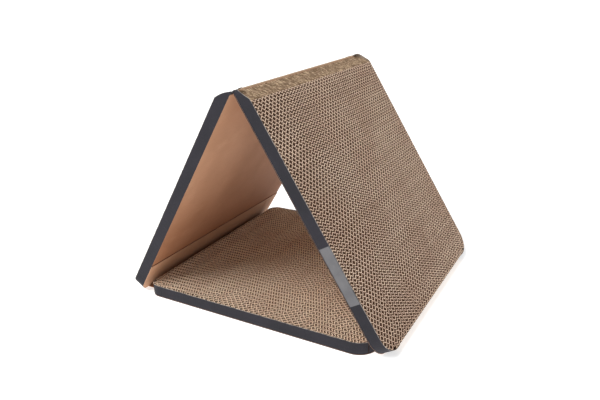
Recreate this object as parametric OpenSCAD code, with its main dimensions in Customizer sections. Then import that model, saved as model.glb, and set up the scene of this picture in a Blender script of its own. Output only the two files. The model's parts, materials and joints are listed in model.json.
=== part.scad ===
// Folding three-panel cardboard cat scratcher, stood up as a triangular tunnel.
// X runs across the tunnel, Y along it and Z up. The origin is on the floor, under the middle of the tunnel.
// Each panel is a stack of corrugated board strips on edge, so that the cut flutes make the scratching face.
// A smooth kraft sheet is glued on the other side, and a printed paper band goes round each short side.
// The kraft sheets carry the hinges. One crease joins the two leaning panels at the top. At the left foot a
// strip as wide as a panel is thick lies between two creases, so that the left panel can fold under the base.

/* [Panels] */
// Length of a leaning panel, from its foot to the top crease
panel_len = 305; // [240:1:380]
// Length of each panel along the tunnel
panel_depth = 290; // [220:1:360]
// Thickness of a panel, kraft sheet and flutes together
panel_t = 15; // [11:0.5:22]
// Radius of the corners at a panel's free edge
free_corner_r = 22; // [14:1:34]
// Radius of the corners at the creased edges on the floor
crease_corner_r = 14; // [10:1:20]
// Radius of the corners at the ridge
ridge_corner_r = 6; // [4:1:10]
// How far the slanted top of a leaning panel runs down from the crease
top_slant = 17; // [12:1:22]
// Distance on the floor between the feet of the leaning panels
foot_span = 318; // [290:1:340]

/* [Corrugated board] */
// Width of one double-wall board strip, which is two rows of flutes
board_t = 7; // [5:0.5:10]
// Depth of the groove that shows the middle liner of a board
groove_depth = 0.5; // [0.2:0.1:1]
// Width of that groove
groove_w = 0.9; // [0.5:0.1:1.5]
// Height of the single row of flutes at a panel's long edge, with its liner
flute_h = 3.4; // [2.5:0.1:4.5]
// Thickness of that liner
liner_t = 0.3; // [0.2:0.05:0.5]
// Length of one flute wave
flute_pitch = 7; // [5:0.5:10]
// Thickness of the fluted paper
flute_paper_t = 0.4; // [0.3:0.05:0.6]
// Glue line between one piece and the next
glue_gap = 0.1; // [0.08:0.01:0.15]

/* [Kraft sheets and creases] */
// Thickness of the kraft sheet under each panel
kraft_t = 0.6; // [0.4:0.1:1]
// Width of the crease line that parts two sheets
crease_gap = 0.3; // [0.2:0.05:0.5]
// Play between the folded left panel and the base
fold_play = 0.3; // [0.2:0.1:1]
// Height of the flap that is glued up the left panel's inner face
flap_h = 46; // [30:1:70]
// Gap between the edge of the base and the right panel that leans past it
lean_gap = 0.4; // [0.3:0.1:1]

/* [Paper bands] */
// Thickness of the paper band
band_t = 0.4; // [0.3:0.05:0.6]
// How far the band's face lies inside the edge of the kraft sheet
band_inset = 0.2; // [0.15:0.05:0.4]
// How far the band laps past the corner, along the long edge
band_lap = 6; // [3:1:12]
// How far the cut flutes stand above the band
band_reveal = 0.5; // [0.3:0.1:1.5]
// Height up to which the right panel's band stays upright at the ridge
band_upright = 5; // [3:0.5:8]

/* [Label] */
// Length of the bare label on the right panel's near band
label_len = 65; // [40:1:90]
// Distance from the right panel's foot to the label
label_foot = 63; // [40:1:100]
// Thickness of the label paper
label_t = 0.15; // [0.12:0.01:0.18]
// How much of the band shows above and below the label
label_margin = 0.8; // [0.4:0.1:2]

/* [Hidden] */

// Slope of the leaning panels, which meet on the top crease
lean = acos(foot_span / 2 / panel_len);
// The strip between the two creases at the left foot takes one panel's thickness when the panel folds under
gusset_w = panel_t + fold_play;
base_x = gusset_w - foot_span / 2;
// The base ends where the inner face of the right panel passes its top edge
base_len = foot_span - gusset_w - panel_t / tan(lean) - lean_gap / sin(lean);
// Half a crease line, by which each sheet stops short of its crease
crease_cut = crease_gap / 2;
// Length of the pieces on a leaning panel, which keep the crease line free at either end
inner_len = panel_len - crease_gap;
// Half the length of a crease, between the rounded corners
crease_half = panel_depth / 2 - crease_corner_r;
// Height of the board strips above the kraft sheet
core_z = kraft_t + glue_gap;
core_h = panel_t - core_z;
// The core's outline lies inside the panel's by the band and its glue
core_inset = band_inset + band_t + glue_gap;
// The board strips start behind the row of open flutes
stack_inset = core_inset + flute_h + glue_gap;
// The fluted paper lies behind its liner, and swings as deep as the row allows
wave_start = liner_t + glue_gap;
wave_reach = flute_h - wave_start - flute_paper_t;
band_h = core_h - band_reveal;
// Tilt of the slanted top out of the upright
tilt = atan(top_slant / panel_t);
// How far a cut runs past the solid that it cuts
overrun = 1;
// Segments in one flute wave, and the rounding of circles
wave_steps = 6;
arc_steps = 96;

kraft_colour = [0.66, 0.50, 0.38];
board_colour = [0.60, 0.50, 0.41];
flute_colour = [0.55, 0.43, 0.33];
band_colour = [0.27, 0.27, 0.31];
label_colour = [0.42, 0.42, 0.44];

// Outline of a panel, drawn in by a named inset: u is along its length and v along the tunnel
// The corners at its start and at its end have radii of their own
module outline(len, inset, r_start, r_end) {
    r = r_start - inset;
    s = r_end - inset;
    half = panel_depth / 2 - inset;
    for (side = [-1, 1]) {
        translate([inset + r, side * (half - r)]) circle(r, $fn = arc_steps);
        translate([len - inset - s, side * (half - s)]) circle(s, $fn = arc_steps);
    }
    translate([inset + r, -half]) square([len - 2 * inset - r - s, 2 * half]);
    translate([inset, r - half]) square([len / 2 - inset, 2 * (half - r)]);
    translate([len / 2, s - half]) square([len / 2 - inset, 2 * (half - s)]);
}

// The space under the slanted top of a leaning panel, drawn in by a named inset
module under_slant(len, inset) {
    top = panel_t + overrun;
    edge = len - inset / cos(tilt);
    translate([0, panel_depth / 2, 0]) rotate([90, 0, 0]) linear_extrude(panel_depth)
        polygon([[-overrun, -overrun], [edge + overrun * tan(tilt), -overrun],
                 [edge - top * tan(tilt), top], [-overrun, top]]);
}

// The space under a ridge that goes straight up first, to a given height, and then slants
module under_hump(len, upright) {
    top = panel_t + overrun;
    run = top_slant / (panel_t - upright);
    translate([0, panel_depth / 2, 0]) rotate([90, 0, 0]) linear_extrude(panel_depth)
        polygon([[-overrun, -overrun], [len, -overrun], [len, upright],
                 [len - (top - upright) * run, top], [-overrun, top]]);
}

// Cross-section of one board strip, with a groove along its middle and eased top edges
module board_section(w) {
    ease = groove_w / 2;
    low = core_h - groove_depth;
    polygon([[0, 0], [w, 0], [w, low], [w - ease, core_h], [w / 2 + ease, core_h], [w / 2, low],
             [w / 2 - ease, core_h], [ease, core_h], [0, low]]);
}

// One board strip on edge, as long as the panel is deep
module board(w) {
    half = panel_depth / 2 - core_inset;
    translate([0, half, core_z]) rotate([90, 0, 0]) linear_extrude(2 * half) board_section(w);
}

// The stack of board strips between the two rows of flutes; the strips at the ends follow the rounded corners
module core(len, r_start, r_end, slanted) {
    last = slanted ? len - core_z * tan(tilt) - stack_inset / cos(tilt) : len - stack_inset;
    count = round((last - stack_inset) / board_t);
    pitch = (last - stack_inset + glue_gap) / count;
    end_zone = core_inset + max(r_end, slanted ? top_slant + stack_inset / cos(tilt) : 0);
    for (i = [0 : count - 1]) {
        u = stack_inset + i * pitch;
        if (u < core_inset + r_start)
            intersection() {
                translate([u, 0, 0]) board(pitch - glue_gap);
                core_outline(len, r_start, r_end);
            }
        else if (u + pitch > len - end_zone)
            intersection() {
                translate([u, 0, 0]) board(pitch - glue_gap);
                core_outline(len, r_start, r_end);
                if (slanted) under_slant(len, stack_inset);
            }
        else
            translate([u, 0, 0]) board(pitch - glue_gap);
    }
}

// The rounded outline of a core, taller than the board strips that it cuts
module core_outline(len, r_start, r_end) {
    translate([0, 0, core_z - overrun])
        linear_extrude(core_h + 2 * overrun) outline(len, core_inset, r_start, r_end);
}

// Depth of the fluted paper's outer face at a place along the tunnel
function wave(v) = wave_start + wave_reach / 2 * (1 + cos(360 * v / flute_pitch));

// One row of flutes, as a wavy strip of paper on edge, glued behind a straight strip
// The backs of its waves lie on the first board of the stack
module ply(corner_r, height) {
    half = panel_depth / 2 - corner_r;
    waves = round(half / flute_pitch);
    steps = waves * wave_steps;
    step = flute_pitch / wave_steps;
    front = [for (i = [-steps : steps]) [wave(i * step), i * step]];
    back = [for (i = [-steps : steps]) [wave(-i * step) + flute_paper_t, -i * step]];
    translate([core_inset, 0, 0]) linear_extrude(height) polygon(concat(front, back));
    translate([core_inset, -half, 0]) cube([liner_t, 2 * half, height]);
}

// The row at the start of a panel
module start_ply(corner_r) {
    translate([0, 0, core_z]) ply(corner_r, core_h - groove_depth);
}

// The row at the far end of a panel's length
module end_ply(len, corner_r) {
    translate([len, 0, 0]) mirror([1, 0, 0]) start_ply(corner_r);
}

// The row that lies on the slanted top of a leaning panel
module slanted_ply(len) {
    slope_len = panel_t / cos(tilt) + stack_inset * tan(tilt);
    intersection() {
        translate([len, 0, 0]) rotate([0, -tilt, 0]) mirror([1, 0, 0]) ply(ridge_corner_r, slope_len);
        translate([0, -panel_depth / 2, core_z]) cube([len, panel_depth, core_h - groove_depth]);
    }
}

// The paper band round one short side and its two corners, with a lap on each long edge
module band(len, r_start, r_end, side) {
    translate([0, 0, core_z]) linear_extrude(band_h)
        intersection() {
            difference() {
                outline(len, band_inset, r_start, r_end);
                outline(len, band_inset + band_t, r_start, r_end);
            }
            union() {
                band_reach(-overrun, len / 2 + overrun, r_start + band_lap, side);
                band_reach(len / 2 - overrun, len / 2 + 2 * overrun, r_end + band_lap, side);
            }
        }
}

// How far in from one short side a band reaches, over a stretch of the panel's length
module band_reach(from, stretch, reach, side) {
    v = side < 0 ? -panel_depth / 2 - overrun : panel_depth / 2 - reach;
    translate([from, v]) square([stretch, reach + overrun]);
}

// The left panel's band, which follows the slanted top
module slanted_band(side) {
    intersection() {
        band(inner_len, crease_corner_r, ridge_corner_r, side);
        under_slant(inner_len, core_inset + band_reveal);
    }
}

// The right panel's band, which stands up in a hump at the ridge
module humped_band(side) {
    intersection() {
        band(inner_len, free_corner_r, ridge_corner_r, side);
        under_hump(inner_len, band_upright);
    }
}

// The kraft sheet under a panel; where it runs on over a crease it stops at the crease line
module kraft(len, r_start, r_end, crease_at_start, crease_at_end) {
    start = crease_at_start ? crease_cut : 0;
    end = len - (crease_at_end ? crease_cut : 0);
    linear_extrude(kraft_t)
        intersection() {
            outline(len, 0, r_start, r_end);
            translate([start, -panel_depth / 2]) square([end - start, panel_depth]);
        }
}

// Where each panel stands, and the room between the crease lines of a leaning panel
module place_base() {
    translate([base_x, 0, 0]) children();
}
module place_left() {
    translate([-foot_span / 2, 0, 0]) rotate([0, -lean, 0]) children();
}
module place_right() {
    mirror([1, 0, 0]) place_left() children();
}
module inside_creases() {
    translate([crease_cut, 0, 0]) children();
}

module base_core() { color(board_colour) place_base() core(base_len, crease_corner_r, free_corner_r, false); }
module base_hinge_ply() { color(flute_colour) place_base() start_ply(crease_corner_r); }
module base_free_ply() { color(flute_colour) place_base() end_ply(base_len, free_corner_r); }
module base_kraft() {
    color(kraft_colour) place_base() kraft(base_len, crease_corner_r, free_corner_r, true, false);
}
module base_near_band() { color(band_colour) place_base() band(base_len, crease_corner_r, free_corner_r, -1); }
module base_far_band() { color(band_colour) place_base() band(base_len, crease_corner_r, free_corner_r, 1); }

module left_core() {
    color(board_colour) place_left() inside_creases() core(inner_len, crease_corner_r, ridge_corner_r, true);
}
module left_foot_ply() { color(flute_colour) place_left() inside_creases() start_ply(crease_corner_r); }
module left_top_ply() { color(flute_colour) place_left() inside_creases() slanted_ply(inner_len); }
module left_kraft() {
    color(kraft_colour) place_left() kraft(panel_len, crease_corner_r, ridge_corner_r, true, true);
}
module left_near_band() { color(band_colour) place_left() inside_creases() slanted_band(-1); }
module left_far_band() { color(band_colour) place_left() inside_creases() slanted_band(1); }

module right_core() {
    color(board_colour) place_right() inside_creases() core(inner_len, free_corner_r, ridge_corner_r, true);
}
module right_foot_ply() { color(flute_colour) place_right() inside_creases() start_ply(free_corner_r); }
module right_top_ply() { color(flute_colour) place_right() inside_creases() slanted_ply(inner_len); }
module right_kraft() {
    color(kraft_colour) place_right() kraft(panel_len, free_corner_r, ridge_corner_r, false, true);
}
module right_near_band() { color(band_colour) place_right() inside_creases() humped_band(-1); }
module right_far_band() { color(band_colour) place_right() inside_creases() humped_band(1); }

// The strip on the floor between the two creases, mitred where the glued flap turns up from it
module gusset_strip() {
    mitre = kraft_t / tan(lean / 2);
    color(kraft_colour)
        translate([-foot_span / 2, crease_half, 0]) rotate([90, 0, 0]) linear_extrude(2 * crease_half)
            polygon([[crease_gap, 0], [gusset_w - crease_cut, 0], [gusset_w - crease_cut, kraft_t],
                     [crease_gap + mitre, kraft_t]]);
}

// The end of the base's kraft sheet, turned up and glued on the left panel's inner face
// Its side edges follow the left panel's outline, and it is mitred where it turns up
module glued_flap() {
    mitre = kraft_t / tan(lean / 2);
    color(kraft_colour)
        place_left() translate([0, 0, -glue_gap]) intersection() {
            translate([0, 0, -kraft_t - overrun]) linear_extrude(kraft_t + 2 * overrun)
                outline(panel_len, 0, crease_corner_r, ridge_corner_r);
            translate([0, panel_depth / 2 + overrun, 0]) rotate([90, 0, 0])
                linear_extrude(panel_depth + 2 * overrun)
                polygon([[crease_gap, 0], [flap_h, 0], [flap_h, -kraft_t], [crease_gap + mitre, -kraft_t]]);
        }
}

// The bare label, stuck on the right panel's near band
module band_label() {
    label_h = band_h - 2 * label_margin;
    face = panel_depth / 2 - band_inset + glue_gap / 2;
    color(label_colour)
        place_right() translate([label_foot, -face - label_t, core_z + label_margin])
            cube([label_len, label_t, label_h]);
}

base_core();
base_hinge_ply();
base_free_ply();
base_kraft();
base_near_band();
base_far_band();
gusset_strip();
left_core();
left_foot_ply();
left_top_ply();
left_kraft();
left_near_band();
left_far_band();
glued_flap();
right_core();
right_foot_ply();
right_top_ply();
right_kraft();
right_near_band();
right_far_band();
band_label();
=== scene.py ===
import json
import math

import bpy
import numpy as np
from mathutils import Matrix, Vector


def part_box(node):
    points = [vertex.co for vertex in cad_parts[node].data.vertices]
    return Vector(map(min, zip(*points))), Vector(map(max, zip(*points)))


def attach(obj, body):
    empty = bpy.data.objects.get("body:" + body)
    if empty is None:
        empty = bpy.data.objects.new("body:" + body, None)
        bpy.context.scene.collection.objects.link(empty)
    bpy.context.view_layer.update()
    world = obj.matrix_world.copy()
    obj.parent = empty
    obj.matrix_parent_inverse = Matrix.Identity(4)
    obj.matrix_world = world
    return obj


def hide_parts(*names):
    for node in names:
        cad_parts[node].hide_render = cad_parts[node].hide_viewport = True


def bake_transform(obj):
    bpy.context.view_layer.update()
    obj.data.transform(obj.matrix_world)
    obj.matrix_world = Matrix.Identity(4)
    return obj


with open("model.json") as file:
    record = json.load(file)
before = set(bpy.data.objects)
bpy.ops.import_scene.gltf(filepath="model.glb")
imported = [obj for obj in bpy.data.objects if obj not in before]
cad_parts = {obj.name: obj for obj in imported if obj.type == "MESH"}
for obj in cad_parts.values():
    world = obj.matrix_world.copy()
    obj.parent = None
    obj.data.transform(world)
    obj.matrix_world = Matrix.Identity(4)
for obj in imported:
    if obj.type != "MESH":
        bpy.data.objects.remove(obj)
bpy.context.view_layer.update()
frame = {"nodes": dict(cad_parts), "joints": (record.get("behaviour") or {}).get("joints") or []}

# The view
# The camera stands in front of the tunnel's mouth and to its right, about 10 cm above the ridge, and looks
# down over the right panel into the tunnel. Film and lens are in millimetres, as the camera takes them.
camera_place = (0.3422, -0.6143, 0.3641)
turn, dip, roll = (math.radians(angle) for angle in (-29.813, 20.720, -1.470))
film_width, focal_length, nearest_seen = 36, 35.74, 0.01
camera_data = bpy.data.cameras.new("camera")
camera_data.sensor_width = film_width
camera_data.lens = focal_length
camera_data.clip_start = nearest_seen
camera = bpy.data.objects.new("camera", camera_data)
bpy.context.scene.collection.objects.link(camera)
bpy.context.scene.camera = camera
ahead = Vector((math.sin(turn) * math.cos(dip), math.cos(turn) * math.cos(dip), -math.sin(dip)))
level_side = Vector((math.cos(turn), -math.sin(turn), 0))
level_up = level_side.cross(ahead)
camera_side = math.cos(roll) * level_side + math.sin(roll) * level_up
camera_up = math.cos(roll) * level_up - math.sin(roll) * level_side
camera_axes = Matrix((camera_side, camera_up, -ahead)).transposed().to_4x4()
camera.matrix_world = Matrix.Translation(camera_place) @ camera_axes
bpy.context.scene.view_settings.view_transform = "Standard"


# Board strips
# Each panel is a stack of double-wall corrugated board strips, sawn to one height and glued side by side on
# edge. The saw leaves the edges of the wavy papers proud and burred, and it tears the straight liners
# between them a little deeper, so that these stay in the shade. That shade is partly real and partly painted
# shade, which darkens every paper with its depth below the cut.
MM = 0.001
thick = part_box("base_core")[1].z
kraft_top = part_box("base_core")[0].z
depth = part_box("base_kraft")[1].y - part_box("base_kraft")[0].y
core_inset = depth / 2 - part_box("base_core")[1].y
flute_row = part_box("base_hinge_ply")[1].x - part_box("base_hinge_ply")[0].x
glue, crease_cut = 0.1 * MM, 0.15 * MM
stack_inset = core_inset + flute_row + glue
slant_run = 17 * MM
free_radius, crease_radius, ridge_radius = 22 * MM, 14 * MM, 6 * MM


class Panel:
    """One slab. u runs along its length from its foot, v along the tunnel, w from its kraft sheet out."""

    def __init__(self, name, body, foot, along, out, length, foot_radius, top_radius, slanted):
        self.name, self.body = name, body
        self.foot, self.along, self.out = (np.array(values, float) for values in (foot, along, out))
        self.length, self.foot_radius, self.top_radius = length, foot_radius, top_radius
        self.slope = slant_run / thick if slanted else 0.0
        self.steep = math.hypot(1, self.slope)
        self.mirrored = np.cross(self.along, (0, 1, 0)) @ self.out < 0

    def place(self, uvw):
        """The places in the scene of rows of u, v and w."""
        along, across, out = (np.outer(distance, axis)
                              for distance, axis in zip(uvw.T, (self.along, (0, 1, 0), self.out)))
        return self.foot + along + across + out

    def half_core(self, u):
        """Half of the core's depth along the tunnel at u, less in the rounded corners."""
        half = np.full(np.shape(u), depth / 2 - core_inset)
        for radius, into in ((self.foot_radius, u), (self.top_radius, self.length - u)):
            arc = radius - core_inset
            short = np.clip(radius - into, 0, arc)
            half = half - arc + np.sqrt(arc ** 2 - short ** 2)
        return half

    def under_slant(self, u, inset):
        """Height of the slanted top at u, drawn in by an inset."""
        if not self.slope:
            return np.full(np.shape(u), thick)
        return np.minimum(thick, (self.length - u - inset * self.steep) / self.slope)


crease = {joint["name"]: np.array(joint["pos_m"]) for joint in frame["joints"]}
foot, ridge = crease["foot_crease"], crease["top_crease"]
panel_length = float(np.linalg.norm(ridge - foot))
climb = (ridge - foot) / panel_length
base_start = crease["base_crease"][0]
base_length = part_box("base_kraft")[1].x - base_start
other_side = (-1, 1, 1)
base = Panel("base", "base", (base_start, 0, 0), (1, 0, 0), (0, 0, 1),
             base_length, crease_radius, free_radius, slanted=False)
left = Panel("left", "left_panel", foot, climb, (-climb[2], 0, climb[0]),
             panel_length, crease_radius, ridge_radius, slanted=True)
right = Panel("right", "right_panel", foot * other_side, climb * other_side, (climb[2], 0, climb[0]),
              panel_length, free_radius, ridge_radius, slanted=True)


def mesh_piece(name, points, faces, finish):
    mesh = bpy.data.meshes.new(name)
    mesh.from_pydata(np.asarray(points).tolist(), [], faces)
    mesh.update()
    mesh.materials.append(finish)
    piece = bpy.data.objects.new(name, mesh)
    bpy.context.scene.collection.objects.link(piece)
    return piece


def mark(piece, word, values):
    """Stores one number for each point, for the material to read."""
    attribute = piece.data.attributes.new(word, "FLOAT", "POINT")
    attribute.data.foreach_set("value", np.ravel(values).astype(np.float32))


def dress(piece, body, slot, *nodes):
    """Lets a piece ride with a body, in place of the CAD nodes that are named."""
    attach(piece, body)
    if nodes:
        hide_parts(*nodes)


class Stock:
    """Strips of paper gathered into one mesh, with a depth below the cut and a tone for each point."""

    def __init__(self):
        self.points, self.faces, self.below, self.tone = [], [], [], []
        self.count = 0

    def strip(self, u, v, low, top, paper, tone, sunk):
        """A strip of paper on edge along a line in plan; low and top are heights at each station."""
        run_u, run_v = np.gradient(u), np.gradient(v)
        run = np.hypot(run_u, run_v)
        side_u, side_v = -run_v / run * paper / 2, run_u / run * paper / 2
        low, top = np.broadcast_to(low, u.shape), np.broadcast_to(top, u.shape)
        rims = ((1, low), (1, top), (-1, top), (-1, low))
        rings = np.stack([np.stack([u + side * side_u, v + side * side_v, height], 1)
                          for side, height in rims], 1)
        stations = len(u)
        first = self.count + 4 * np.arange(stations - 1)[:, None]
        around = np.array([[k, (k + 1) % 4, 4 + (k + 1) % 4, 4 + k] for k in range(4)])
        sides = (first[:, :, None] + around[None]).reshape(-1, 4)
        end = 4 * (stations - 1)
        ends = self.count + np.array([[3, 2, 1, 0], [end, end + 1, end + 2, end + 3]])
        below = np.full((stations, 4), sunk)
        below[:, 0] = below[:, 3] = top - low + sunk
        self.points.append(rings.reshape(-1, 3))
        self.faces.append(np.concatenate([sides, ends]))
        self.below.append(below.ravel())
        self.tone.append(np.full(4 * stations, tone))
        self.count += 4 * stations

    def piece(self, name, panel, finish, slot, *nodes):
        """Turns what was gathered into one piece that rides with its panel."""
        faces = np.concatenate(self.faces)
        if panel.mirrored:
            faces = faces[:, ::-1]
        piece = mesh_piece(name, panel.place(np.concatenate(self.points)), faces.tolist(), finish)
        mark(piece, "below", np.concatenate(self.below))
        mark(piece, "tone", np.concatenate(self.tone))
        dress(piece, panel.body, slot, *nodes)


def drift(rng, v, knots, size):
    """A slow random drift along v."""
    return np.interp(v, np.linspace(-depth / 2, depth / 2, knots), rng.normal(0, size, knots))


# In millimetres
saw_loss, saw_scatter = 0.10, 0.12


def sawn_away(rng, stations):
    """How far below the cut the saw left a paper at each station."""
    return np.abs(rng.normal(saw_loss, saw_scatter, stations)) * MM


class Wire:
    """An output of a node. Sums, differences and products of wires add Math nodes."""

    def __init__(self, nodes, socket):
        self.nodes, self.socket = nodes, socket

    def combine(self, operation, *values):
        return self.nodes.add("ShaderNodeMath", {"operation": operation}, *values)

    def __add__(self, other):
        return self.combine("ADD", self, other)

    def __radd__(self, other):
        return self.combine("ADD", other, self)

    def __sub__(self, other):
        return self.combine("SUBTRACT", self, other)

    def __rsub__(self, other):
        return self.combine("SUBTRACT", other, self)

    def __mul__(self, other):
        return self.combine("MULTIPLY", self, other)

    def __rmul__(self, other):
        return self.combine("MULTIPLY", other, self)

    def __abs__(self):
        return self.combine("ABSOLUTE", self)

    def span(self, low, high, out_low=0.0, out_high=1.0):
        """The share of the way from low to high, smoothed and held at both ends."""
        smooth = {"interpolation_type": "SMOOTHSTEP"}
        return self.nodes.add("ShaderNodeMapRange", smooth, self, low, high, out_low, out_high)

    def sine(self, wavelength):
        """A wave along the wire, from -1 to 1."""
        return self.combine("SINE", self * (math.tau / wavelength))


class Nodes:
    """A node tree. add puts in any node and gives back its first output, or the one that is named."""

    def __init__(self, owner):
        owner.use_nodes = True
        self.tree = owner.node_tree
        self.tree.nodes.clear()

    def add(self, kind, settings=None, *values, give=0, **named):
        """Values go to the first sockets in turn and named ones by name; None leaves a socket as it is."""
        node = self.tree.nodes.new(kind)
        for key, value in (settings or {}).items():
            setattr(node, key, value)
        for key, value in [*enumerate(values), *named.items()]:
            if value is None:
                continue
            socket = node.inputs[key.replace("_", " ") if isinstance(key, str) else key]
            if isinstance(value, Wire):
                self.tree.links.new(value.socket, socket)
            else:
                socket.default_value = value
        if node.outputs:
            return Wire(self, node.outputs[give])

    def seen(self):
        """One for what the camera sees, straight on, mirrored or through glass, and zero for light."""
        direct, mirrored, through = (self.add("ShaderNodeLightPath", give=ray)
                                     for ray in ("Is Camera Ray", "Is Glossy Ray", "Is Transmission Ray"))
        return direct + mirrored + through


class Finish(Nodes):
    """A node material."""

    def __init__(self, name):
        self.material = bpy.data.materials.new(name)
        super().__init__(self.material)
        self.place = self.add("ShaderNodeTexCoord", give="Object")

    def noise(self, scale, detail, rough=0.5, stretch=(1, 1, 1)):
        """Cloudy noise in the piece's own place; a low stretch draws it out along an axis."""
        where = self.add("ShaderNodeMapping", None, self.place, Scale=stretch)
        return self.add("ShaderNodeTexNoise", None, where, Scale=scale, Detail=detail, Roughness=rough)

    def stored(self, word):
        """A number that mark stored for each point."""
        return self.add("ShaderNodeAttribute", {"attribute_name": word}, give="Fac")

    def mix(self, share, first, second, blend="MIX"):
        """Mixes two colours: the Mix node's colour sockets come after five for numbers and vectors."""
        others = [None] * 5
        settings = {"data_type": "RGBA", "blend_type": blend}
        return self.add("ShaderNodeMix", settings, share, *others, first, second, give=2)

    def along(self, panel):
        """Distance along a panel from its foot."""
        apart = self.add("ShaderNodeVectorMath", {"operation": "SUBTRACT"}, self.place, tuple(panel.foot))
        dot = {"operation": "DOT_PRODUCT"}
        return self.add("ShaderNodeVectorMath", dot, apart, tuple(panel.along), give="Value")

    def part(self, axis, vector=None):
        """One coordinate of a vector, which is the place itself unless another is given."""
        return self.add("ShaderNodeSeparateXYZ", None, vector or self.place, give=axis)

    def bump(self, height, distance, strength, under=None):
        """Relief on the surface, or on the relief of another bump."""
        return self.add("ShaderNodeBump", None, Strength=strength, Distance=distance, Height=height,
                        Normal=under)

    def close(self, colour, roughness, normal, specular):
        """Puts on the Principled shader. The specular level is one number for the whole surface."""
        shader = self.add("ShaderNodeBsdfPrincipled", None, Base_Color=colour, Roughness=roughness,
                          Normal=normal, Specular_IOR_Level=specular)
        self.add("ShaderNodeOutputMaterial", None, shader)
        return self.material


def paint(red, green, blue):
    """A colour given in 0 to 255, as the linear colour that a shader takes."""
    return tuple(c / 12.92 if c <= 0.04045 else ((c + 0.055) / 1.055) ** 2.4
                 for c in (red / 255, green / 255, blue / 255)) + (1.0,)


def cut_board(name, lit_depth, burr_light, burr_dark):
    """Sawn papers: pale burrs down to a given depth below the cut, brown walls below, and then dark cells.
    The burrs are partly frayed paper and partly painted light, and the darkening with depth is painted shade.
    """
    board = Finish(name)
    wall_light, wall_dark, painted_cell_shade = paint(120, 91, 73), paint(112, 84, 67), paint(40, 26, 20)
    patch_tint, fleck_brown = paint(206, 172, 160), paint(112, 86, 66)
    below, tone = board.stored("below"), board.stored("tone")
    patches = board.noise(16, 2).span(0.36, 0.68) * 0.20
    flecks = board.noise(900, 2).span(0.60, 0.74) * 0.3
    fibres = board.noise(1600, 4, 0.7)
    burr = board.mix(tone, burr_light, burr_dark)
    wall = board.mix(tone, wall_light, wall_dark)
    # Painted light and shade by depth below the cut: pale burrs near the cut, then brown walls, then dark
    # cells
    cell = board.mix(below.span(0.9 * MM + lit_depth, 2.4 * MM + lit_depth), wall, painted_cell_shade)
    paper = board.mix(below.span(0.4 * lit_depth, 1.5 * lit_depth), burr, cell)
    paper = board.mix(patches, paper, patch_tint, "MULTIPLY")
    paper = board.mix(flecks, paper, fleck_brown)
    return board.close(paper, 0.84 + fibres * 0.12, board.bump(fibres, 0.15 * MM, 0.5), specular=0.2)


# The second number is how deep below the cut the pale burrs reach, as painted light; below it comes painted
# shade
panel_board = cut_board("cut corrugated board", 0.45 * MM, paint(234, 207, 183), paint(224, 195, 171))
# The base's board is a lighter copy, with paler burrs that reach deeper: painted light on the floor of the
# tunnel
lit_base_board = cut_board("cut corrugated board of the base", 1.0 * MM,
                       paint(250, 228, 202), paint(242, 216, 190))

strip_width = 7 * MM
liner_paper, flute_paper = 0.30 * MM, 0.62 * MM
# Each strip has two rows of flutes of unlike length, the far row starting further on, so that their cells
# pass in and out of step along the tunnel
near_flute, far_flute, far_shift = 6.45 * MM, 6.87 * MM, 0.70
# From strip to strip the rows lean to and fro, in flutes
sway_size, sway_rate = 0.015, 0.22
# Knots and size of each paper's own drift
phase_drift, swing_drift, liner_drift = (24, 0.025), (40, 0.06 * MM), (25, 0.10 * MM)
stations_per_flute, liner_stations = 6, 24
# In millimetres, how far below the cut a whole paper may lie
paper_loss = 0.08
slant_cover = core_inset + 0.5 * MM
shortest_strip, shortest_paper = 2 * MM, 0.2 * MM
boards_low = kraft_top + glue

for panel, seed, finish, wander, torn in ((base, 20, lit_base_board, 0.07, 0.9 * MM),
                                          (left, 21, panel_board, 0.015, 0.6 * MM),
                                          (right, 22, panel_board, 0.015, 0.6 * MM)):
    rng = np.random.default_rng(seed)
    stock = Stock()
    last = panel.length - kraft_top * panel.slope - stack_inset * panel.steep
    strips = round((last - stack_inset) / strip_width)
    pitch = (last - stack_inset + glue) / strips
    end = panel.length - core_inset * panel.steep if panel.slope else last
    near_lean = far_lean = 0.0
    bend = rng.uniform(0, math.tau)
    for i in range(strips + 1):
        seam = stack_inset + i * pitch - glue / 2
        sway = sway_size * math.sin(sway_rate * i + bend)
        near_lean += sway + rng.normal(0.0, wander)
        far_lean -= sway + rng.normal(0.0, wander)
        papers = ((seam, None, 0), (seam + pitch / 4, near_flute, near_lean),
                  (seam + pitch / 2, None, 0), (seam + 3 * pitch / 4, far_flute, far_shift + far_lean))
        for u, flute, shift in papers:
            paper = flute_paper if flute else liner_paper
            swing = pitch / 4 - liner_paper / 2 - flute_paper / 2 if flute else 0.0
            height = panel.under_slant(u, slant_cover) - boards_low
            if u + swing + paper / 2 > end or height < shortest_strip:
                continue
            u = max(u, stack_inset + paper / 2)
            half = float(panel.half_core(u)) - glue
            stations = round(2 * half / flute * stations_per_flute) + 1 if flute else liner_stations
            v = np.linspace(-half, half, stations)
            if flute:
                phase = (v + depth / 2) / flute + shift + drift(rng, v, *phase_drift)
                line = u + (swing + drift(rng, v, *swing_drift)) * np.sin(math.tau * phase)
            else:
                line = u + drift(rng, v, *liner_drift)
            sunk = 0.0 if flute else torn
            drop = sawn_away(rng, stations) + rng.uniform(0, paper_loss) * MM + sunk
            top = np.maximum(panel.under_slant(line, slant_cover) - drop, boards_low + shortest_paper)
            stock.strip(line, v, boards_low, top, paper, rng.uniform(), sunk)
    stock.piece(panel.name + "_boards", panel, finish, "fluted_board", panel.name + "_core")


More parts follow.
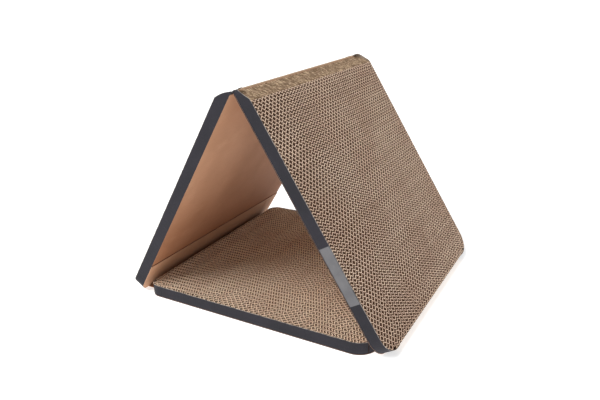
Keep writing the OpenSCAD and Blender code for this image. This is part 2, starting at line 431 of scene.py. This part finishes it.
# Edge rows
# The long edges end in one more row of flutes, glued on under its own liner. The liner is pressed in a
# little between the flutes and so shows faint ribs, and its skin is rubbed and mottled.
row_width = strip_width / 2
edge = Finish("ribbed liner of the edge row")
clouds = edge.noise(60, 3)
mottle = edge.noise(360, 3, 0.65, (0.5, 1.7, 0.5))
grain = edge.noise(700, 3, 0.6)
skin_light, skin_dark = paint(148, 122, 96), paint(131, 105, 80)
scuffed_dark, scuffed_light, grain_light = paint(96, 72, 52), paint(214, 189, 156), paint(214, 192, 164)
skin = edge.mix(clouds.span(0.35, 0.65), skin_light, skin_dark)
skin = edge.mix(mottle.span(0.48, 0.58) * 0.85, skin, scuffed_dark)
skin = edge.mix(mottle.span(0.46, 0.38) * 0.85, skin, scuffed_light)
skin = edge.mix(grain.span(0.56, 0.70) * 0.5, skin, grain_light)
ribs = edge.part("Y").sine(row_width) * 0.3 + mottle + grain * 0.5
edge_finish = edge.close(skin, 0.80 + grain * 0.14, edge.bump(ribs, 0.5 * MM, 0.8), specular=0.2)

edge_flute, stations_per_edge_flute = 7 * MM, 8
# The liner's paper, and how much of the row it takes up
edge_liner, liner_space = 0.4 * MM, 0.6 * MM
liner_inset, liner_sag, sag_drift = 0.2 * MM, 0.34 * MM, (40, 0.05 * MM)
liner_torn = 0.5 * MM
kraft_gap = 0.05 * MM


def edge_row(panel, at_top, node, seed):
    """A row of flutes and its liner, at the panel's foot or at its other end."""
    rng = np.random.default_rng(seed)
    start = core_inset + (0.0 if panel is base else crease_cut)
    half = depth / 2 - (panel.top_radius if at_top else panel.foot_radius)
    waves = round(half / edge_flute)
    v = np.linspace(-waves * edge_flute, waves * edge_flute, 2 * waves * stations_per_edge_flute + 1)
    turns = math.tau * v / edge_flute
    sag = liner_sag * (1 - np.cos(turns)) / 2 + np.abs(drift(rng, v, *sag_drift))
    reach = (flute_row - liner_space) / 2 - flute_paper
    wave = flute_row / 2 + liner_space / 2 - reach * np.cos(turns)
    word = node.replace("ply", "edge")
    for name, inward, paper, finish, sunk, nodes in (
            (word + "_liner", liner_inset + sag, edge_liner, edge_finish, liner_torn, [node]),
            (word + "_flutes", wave, flute_paper, panel_board, 0.0, [])):
        stock = Stock()
        top = thick - (sawn_away(rng, len(v)) + sunk)
        u = start + inward
        if at_top:
            u = panel.length - u
        stock.strip(u, v, kraft_top + kraft_gap, top, paper, rng.uniform(), sunk)
        stock.piece(name, panel, finish, "edge_flutes", *nodes)


edge_row(base, False, "base_hinge_ply", 41)
edge_row(base, True, "base_free_ply", 42)
edge_row(left, False, "left_foot_ply", 43)
edge_row(right, False, "right_foot_ply", 45)


# Ridge strips
# At the ridge the last board strips are sawn off on the slant, and a liner is drawn over the cut and glued
# down. It is rubbed and mottled like the other edges, and ragged along its upper edge.
slant_rows, slant_stations, slant_liner = 16, 420, 0.35 * MM
slant_side, slant_top, rib_depth = 0.15 * MM, 0.2 * MM, 0.08 * MM
# In millimetres
slant_rough, slant_ragged = 0.10, 0.3


def sheet_piece(name, panel, grid, finish, slot, flip, node):
    """A closed sheet from rings of points, given in the panel's own u, v and w."""
    rings, around = grid.shape[:2]
    sides = [(j, (j + 1) % around) for j in range(around)]
    faces = [[i + j, i + k, i + around + k, i + around + j]
             for i in range(0, (rings - 1) * around, around) for j, k in sides]
    faces += [list(range(around))[::-1], [(rings - 1) * around + j for j in range(around)]]
    if flip:
        faces = [face[::-1] for face in faces]
    piece = mesh_piece(name, panel.place(grid.reshape(-1, 3)), faces, finish)
    dress(piece, panel.body, slot, node)
    return piece


def ridge_strip(panel, node, seed):
    """The liner over a panel's slanted cut, pressed in a little between the flutes."""
    rng = np.random.default_rng(seed)
    w = np.linspace(kraft_top + kraft_gap, thick - slant_top, slant_rows)
    u = panel.length - crease_cut - core_inset * panel.steep - w * panel.slope
    v = np.linspace(-1, 1, slant_stations)[:, None] * (panel.half_core(u) - slant_side)[None]
    press = rib_depth * (1 + np.sin(math.tau * v / row_width))
    press = press + np.abs(rng.normal(0, slant_rough, v.shape)) * MM
    ragged = np.zeros(v.shape)
    ragged[:, -1] = np.abs(rng.normal(0, slant_ragged, slant_stations)) * MM
    outer, inner = (np.stack([u[None] - into / panel.steep + ragged * panel.slope, v,
                              w[None] - into * panel.slope / panel.steep - ragged], 2)
                    for into in (press, press + slant_liner))
    inner[:, :, 2] = np.maximum(inner[:, :, 2], kraft_top)
    grid = np.concatenate([outer, inner[:, ::-1]], 1)
    sheet_piece(node.replace("ply", "strip"), panel, grid, edge_finish, "edge_flutes", panel.mirrored, node)


ridge_strip(left, "left_top_ply", 44)
ridge_strip(right, "right_top_ply", 46)


# Kraft sheets
# Smooth brown kraft liner is glued under each panel and carries the creases. The rows of flutes show through
# it as faint lines, and the bands' print runs over its short edges. One end of the base's sheet is glued up
# the left panel's inner face, where its edge shows as a painted shadow line.
kraft_light, kraft_dark = paint(189, 147, 117), paint(173, 131, 101)
rubbed_light, fibre_brown, speck_brown = paint(208, 170, 140), paint(158, 116, 86), paint(130, 94, 70)
painted_crease_shade, worn_fold = paint(150, 106, 78), paint(198, 176, 150)
painted_foot_shade, flap_light, flap_shadow = paint(202, 168, 140), paint(222, 184, 152), paint(84, 54, 38)
print_dark = paint(42, 40, 44)
flap_height, flap_edge = 46 * MM, 0.4 * MM


def kraft_finish(name, panel, fold, inked):
    """Kraft paper that is worn pale at its fold and darkened by painted shade within a few millimetres of it.
    Paper without a fold is the crease itself, worn all over.
    """
    kraft = Finish(name)
    u = kraft.along(panel)
    clouds = kraft.noise(9, 3, 0.55)
    rub = kraft.noise(38, 4, 0.6, (1, 0.5, 1))
    fibre = kraft.noise(520, 5, 0.7, (1, 0.22, 1))
    specks = kraft.noise(1500, 2).span(0.64, 0.74) * 0.4
    sheet = kraft.mix(clouds.span(0.34, 0.66), kraft_light, kraft_dark)
    sheet = kraft.mix(rub.span(0.52, 0.80) * 0.40, sheet, rubbed_light)
    sheet = kraft.mix(fibre.span(0.48, 0.80) * 0.30, sheet, fibre_brown)
    sheet = kraft.mix(specks, sheet, speck_brown)
    if fold is None:
        sheet = kraft.mix(0.85, sheet, worn_fold)
    else:
        near = abs(u - fold)
        # Painted shade: darker brown within a few millimetres of the fold
        sheet = kraft.mix(near.span(0.4 * MM, 7 * MM, 0.30, 0.0), sheet, painted_crease_shade)
        sheet = kraft.mix(near.span(0.6 * MM, 1.8 * MM, 0.90, 0.0), sheet, worn_fold)
    if panel is left:
        # Painted shade: the left sheet is darker and redder toward its foot, in the low corner of the tunnel
        foot_shade_share = u.span(20 * MM, 270 * MM, 0.80, 0.0)
        flap = u.span(flap_height - flap_edge, flap_height, 0.30, 0.0)
        # Painted shadow: a dark line just above the flap's top edge
        flap_shadow_line = abs(u - flap_height).span(0.3 * MM, 0.9 * MM, 0.75, 0.0)
        sheet = kraft.mix(foot_shade_share, sheet, painted_foot_shade, "MULTIPLY")
        sheet = kraft.mix(flap, sheet, flap_light)
        sheet = kraft.mix(flap_shadow_line, sheet, flap_shadow)
    if inked:
        if panel is not base:
            by_side = abs(kraft.part("Y")).span(depth / 2 - 8 * MM, depth / 2 - 5 * MM)
            by_ridge = u.span(panel.length - 6 * MM, panel.length - 4 * MM)
            sheet = kraft.mix(by_side * by_ridge, sheet, print_dark)
        short_edge = abs(kraft.part("Y", kraft.add("ShaderNodeTexCoord", give="Normal")))
        sheet = kraft.mix(short_edge.span(0.15, 0.4), sheet, print_dark)
    ribs = u.sine(row_width) * 0.5 + clouds * 0.5
    normal = kraft.bump(fibre, 0.10 * MM, 0.4, kraft.bump(ribs, 0.05 * MM, 0.4))
    return kraft.close(sheet, 0.66 + rub * 0.22, normal, specular=0.3)


def coat(node, finish):
    """Puts a material on a CAD node that is shown as it is."""
    materials = frame["nodes"][node].data.materials
    materials.clear()
    materials.append(finish)


coat("base_kraft", kraft_finish("base kraft sheet", base, 0.0, True))
coat("left_kraft", kraft_finish("left kraft sheet", left, panel_length, True))
coat("right_kraft", kraft_finish("right kraft sheet", right, panel_length, True))
coat("glued_flap", kraft_finish("glued flap", left, 0.0, False))
coat("gusset_strip", kraft_finish("gusset kraft", base, 0.0, False))


# Creases
# At each crease the kraft paper itself is the hinge: a narrow fold of the same sheet, a little thinner
# where it was scored, that joins the two sheets.
crease_paper = kraft_finish("creased kraft", base, None, False)
sheet_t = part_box("base_kraft")[1].z
fold_steps, fold_rows, scored = 7, 60, 0.18
fold_gap, ridge_reach, foot_gap, fold_inset = 0.17 * MM, 0.3 * MM, 0.3 * MM, 0.01 * MM


def crease_fold(name, rims, half):
    """A fold of paper between two rims. A rim is a sheet's outer and inner edge at the crease, in x and z."""
    section = []
    for share in np.linspace(0, 1, fold_steps):
        outer, inner = ((1 - share) * first + share * second for first, second in zip(*rims))
        pinch = scored * math.sin(math.pi * share)
        middle = (outer + inner) / 2
        section += [outer + pinch * (middle - outer), inner + pinch * (middle - inner)]
    points = [(x, v, z) for v in np.linspace(-half, half, fold_rows) for x, z in section]
    count = len(section)
    ring = [*range(0, count, 2), *range(count - 1, 0, -2)]
    faces = [[row + j, row + k, row + count + k, row + count + j]
             for row in range(0, (fold_rows - 1) * count, count) for j, k in zip(ring, ring[1:] + ring[:1])]
    faces += [ring[::-1], [(fold_rows - 1) * count + j for j in ring]]
    piece = mesh_piece(name, points, faces, crease_paper)
    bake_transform(piece)


ridge_rims = [panel.place(np.array([[panel_length - fold_gap, 0, w] for w in (0, sheet_t)]))[:, [0, 2]]
              for panel in (left, right)]
crease_fold("top_crease_fold", ridge_rims, depth / 2 - ridge_radius)

on_base, on_strip = base_start + fold_gap, base_start - fold_gap
base_rims = [np.array([[x, fold_inset], [x, sheet_t - fold_inset]]) for x in (on_base, on_strip)]
crease_fold("base_crease_fold", base_rims, depth / 2 - crease_radius)

# The fold at the foot bends from the floor to the lean of the panel, so its rims are mitred
halfway = np.array((1 + climb[0], climb[2])) / math.hypot(1 + climb[0], climb[2])
square = np.array((-halfway[1], halfway[0]))
mitre = foot_gap + sheet_t * climb[2] / (1 - climb[0])
floor_rim = np.array([[foot[0] + foot_gap, fold_inset], [foot[0] + mitre, sheet_t - fold_inset]])
flap_rim = left.place(np.array([[foot_gap, 0, -glue], [mitre, 0, -glue - sheet_t]]))[:, [0, 2]]
fold_start = floor_rim.mean(0)
fold_end = fold_start + (flap_rim.mean(0) - fold_start) @ square * square
crease_fold("foot_crease_fold", (floor_rim, flap_rim), depth / 2 - crease_radius)


# Bands
# Each short side is wrapped in a strip of dark printed paper, glued round the corners and on to the long
# edges. Its cut edge shows pale, and the board's ends press through. At the ridge the left panel's bands
# follow the slant in a low curve, and the right panel's stand up in a hump.
band_paper, band_inset, band_lap = 0.4 * MM, 0.2 * MM, 6 * MM
band_drop, lowest_band = 0.5 * MM, 0.5 * MM
right_upright, left_proud, proud_bend = 5 * MM, 2.2 * MM, 0.8
corner_stations, lap_stations, side_stations = 15, 6, 120
band_heights = (0.0, 0.05, 0.5, 0.95, 1.0)
pressed_in, press_scatter = 0.10 * MM, 0.5
# In millimetres, and the shares of three neighbours that soften it
edge_rough, edge_blur = 0.14, (0.3, 0.4, 0.3)
ink_dark, ink_light = paint(29, 28, 34), paint(35, 33, 40)
grain_grey, scuff_grey = paint(61, 59, 66), paint(94, 89, 86)
bare_paper, paper_back = paint(186, 176, 166), paint(150, 136, 122)


def band_plan(panel, length):
    """The band's line in plan, from one lap round both corners to the other lap."""
    half, far = depth / 2 - band_inset, length - band_inset
    foot_arc, top_arc = panel.foot_radius - band_inset, panel.top_radius - band_inset
    turns = np.linspace(0, math.pi / 2, corner_stations)
    foot_lap, top_lap = (np.linspace(half - arc - band_lap, half - arc, lap_stations)[:-1]
                         for arc in (foot_arc, top_arc))
    plan = [(band_inset, v) for v in foot_lap]
    plan += [(band_inset + foot_arc - foot_arc * math.cos(a), half - foot_arc + foot_arc * math.sin(a))
             for a in turns]
    plan += [(u, half) for u in np.linspace(band_inset + foot_arc, far - top_arc, side_stations)[1:-1]]
    plan += [(far - top_arc + top_arc * math.sin(a), half - top_arc + top_arc * math.cos(a)) for a in turns]
    plan += [(far, v) for v in top_lap[::-1]]
    return np.array(plan)


def band(panel, side, name, node, finish, seed):
    """A band on a panel's near side, where side is -1, or on its far side."""
    rng = np.random.default_rng(seed)
    start = 0.0 if panel is base else crease_cut
    plan = band_plan(panel, panel.length - 2 * start)
    run = np.gradient(plan, axis=0)
    run /= np.linalg.norm(run, axis=1)[:, None]
    inward = np.stack([run[:, 1], -run[:, 0]], 1)
    u, v = plan[:, 0] + start, plan[:, 1]
    ragged = np.abs(np.convolve(rng.normal(0, edge_rough, len(plan)), edge_blur, "same")) * MM
    high = thick - band_drop - ragged
    to_ridge = panel.length - start - u
    if panel is left:
        proud = left_proud * np.sin(math.pi * np.clip(to_ridge / slant_run, 0, 1) ** proud_bend)
        high = np.minimum(high, panel.under_slant(u + start, core_inset) + proud - ragged)
    if panel is right:
        hump = right_upright + to_ridge * (thick - right_upright) / slant_run
        high = np.minimum(high, hump - ragged)
    keep = high > kraft_top + lowest_band
    u, v, high, inward = (values[keep] for values in (u, v, high, inward))
    rings = [(share, pressed_in * np.abs(rng.normal(0, press_scatter, len(u)))) for share in band_heights]
    rings += [(share, band_paper) for share in band_heights[::-1]]
    grid = np.stack([np.stack([u + inward[:, 0] * into, side * (v + inward[:, 1] * into),
                               kraft_top + share * (high - kraft_top)], 1) for share, into in rings], 1)
    piece = sheet_piece(name, panel, grid, finish, "printed_band", panel.mirrored != (side > 0), node)
    mark(piece, "border", high[:, None] - grid[:, :, 2])
    mark(piece, "back", np.tile(np.repeat([0.0, 1.0], len(band_heights)), len(u)))


for panel, seed in ((base, 60), (left, 62), (right, 64)):
    band_print = Finish(panel.name + " printed band")
    mottle = band_print.noise(26, 3, 0.6)
    grain = band_print.noise(650, 4, 0.65)
    scuff = band_print.noise(140, 4, 0.7)
    cut_edge = band_print.stored("border").span(0.08 * MM, 0.50 * MM, 1.0, 0.0)
    worn = cut_edge * band_print.noise(260, 3).span(0.30, 0.62, 0.15, 0.85)
    back = band_print.stored("back").span(0.6, 0.9)
    ink = band_print.mix(mottle.span(0.34, 0.66), ink_dark, ink_light)
    ink = band_print.mix(grain.span(0.52, 0.80) * 0.30, ink, grain_grey)
    ink = band_print.mix(scuff.span(0.66, 0.80) * 0.30, ink, scuff_grey)
    ink = band_print.mix(worn, ink, bare_paper)
    ink = band_print.mix(back, ink, paper_back)
    ribs = band_print.along(panel).sine(row_width) * 0.35 + mottle
    normal = band_print.bump(grain, 0.06 * MM, 0.5, band_print.bump(ribs, 0.12 * MM, 0.4))
    finish = band_print.close(ink, 0.50 + mottle * 0.12 + scuff * 0.10, normal, specular=0.22)
    for side, node in ((-1, panel.name + "_near_band"), (1, panel.name + "_far_band")):
        band(panel, side, node + "_paper", node, finish, seed + (side > 0))


# Label
# A strip of lighter grey paper is stuck on the right panel's near band. It is left bare, and only the fine
# tooth of the paper shows.
label = Finish("bare label paper")
tooth = label.noise(900, 3, 0.6)
clouds = label.noise(45, 3)
label_light, label_dark, tooth_light = paint(96, 95, 97), paint(84, 83, 86), paint(116, 114, 114)
bare = label.mix(clouds.span(0.35, 0.65), label_light, label_dark)
bare = label.mix(tooth.span(0.55, 0.80) * 0.35, bare, tooth_light)
coat("band_label", label.close(bare, 0.50 + tooth * 0.15, label.bump(tooth, 0.05 * MM, 0.5), specular=0.4))


# Floor and light
# A plain white floor runs into a white surround. Four broad suns light the scratcher evenly, most of all
# from above and in front, and floor and surround fill its shady sides.
floor_reach, floor_drop = 12.0, 0.2 * MM
floor_glow, floor_bounce = 0.62, 1.30
surround_fill, surround_seen = 0.24, 1.0
sun_width = math.radians(35)
floor = Finish("white floor")
white_light, white_dark = paint(226, 226, 226), paint(222, 222, 222)
white = floor.mix(floor.noise(30, 2), white_light, white_dark)
matt = floor.add("ShaderNodeBsdfDiffuse", Color=white)
bright, lit = (floor.add("ShaderNodeEmission", Color=(1, 1, 1, 1), Strength=strength)
               for strength in (floor_bounce, floor_glow))
for_light, for_camera = (floor.add("ShaderNodeAddShader", None, matt, glow) for glow in (bright, lit))
floor.add("ShaderNodeOutputMaterial", None,
          floor.add("ShaderNodeMixShader", None, floor.seen(), for_light, for_camera))
corners = [(x * floor_reach, y * floor_reach, -floor_drop) for x, y in ((-1, -1), (1, -1), (1, 1), (-1, 1))]
mesh_piece("floor", corners, [[0, 1, 2, 3]], floor.material)

world = bpy.data.worlds.new("studio")
bpy.context.scene.world = world
studio = Nodes(world)
fill, back = (studio.add("ShaderNodeBackground", None, (1, 1, 1, 1), strength)
              for strength in (surround_fill, surround_seen))
studio.add("ShaderNodeOutputWorld", None,
           studio.add("ShaderNodeMixShader", None, studio.seen(), fill, back))

for name, aim, strength in (("front", (0.30, 0.50, -0.80), 2.8), ("low", (-0.50, 0.85, -0.05), 0.5),
                            ("right", (-0.85, 0.15, -0.50), 0.25), ("back", (0.35, -0.75, -0.55), 0.25)):
    lamp = bpy.data.lights.new(name, "SUN")
    lamp.energy = strength
    lamp.angle = sun_width
    holder = bpy.data.objects.new(name, lamp)
    holder.rotation_euler = Vector(aim).to_track_quat("-Z", "Y").to_euler()
    bpy.context.scene.collection.objects.link(holder)
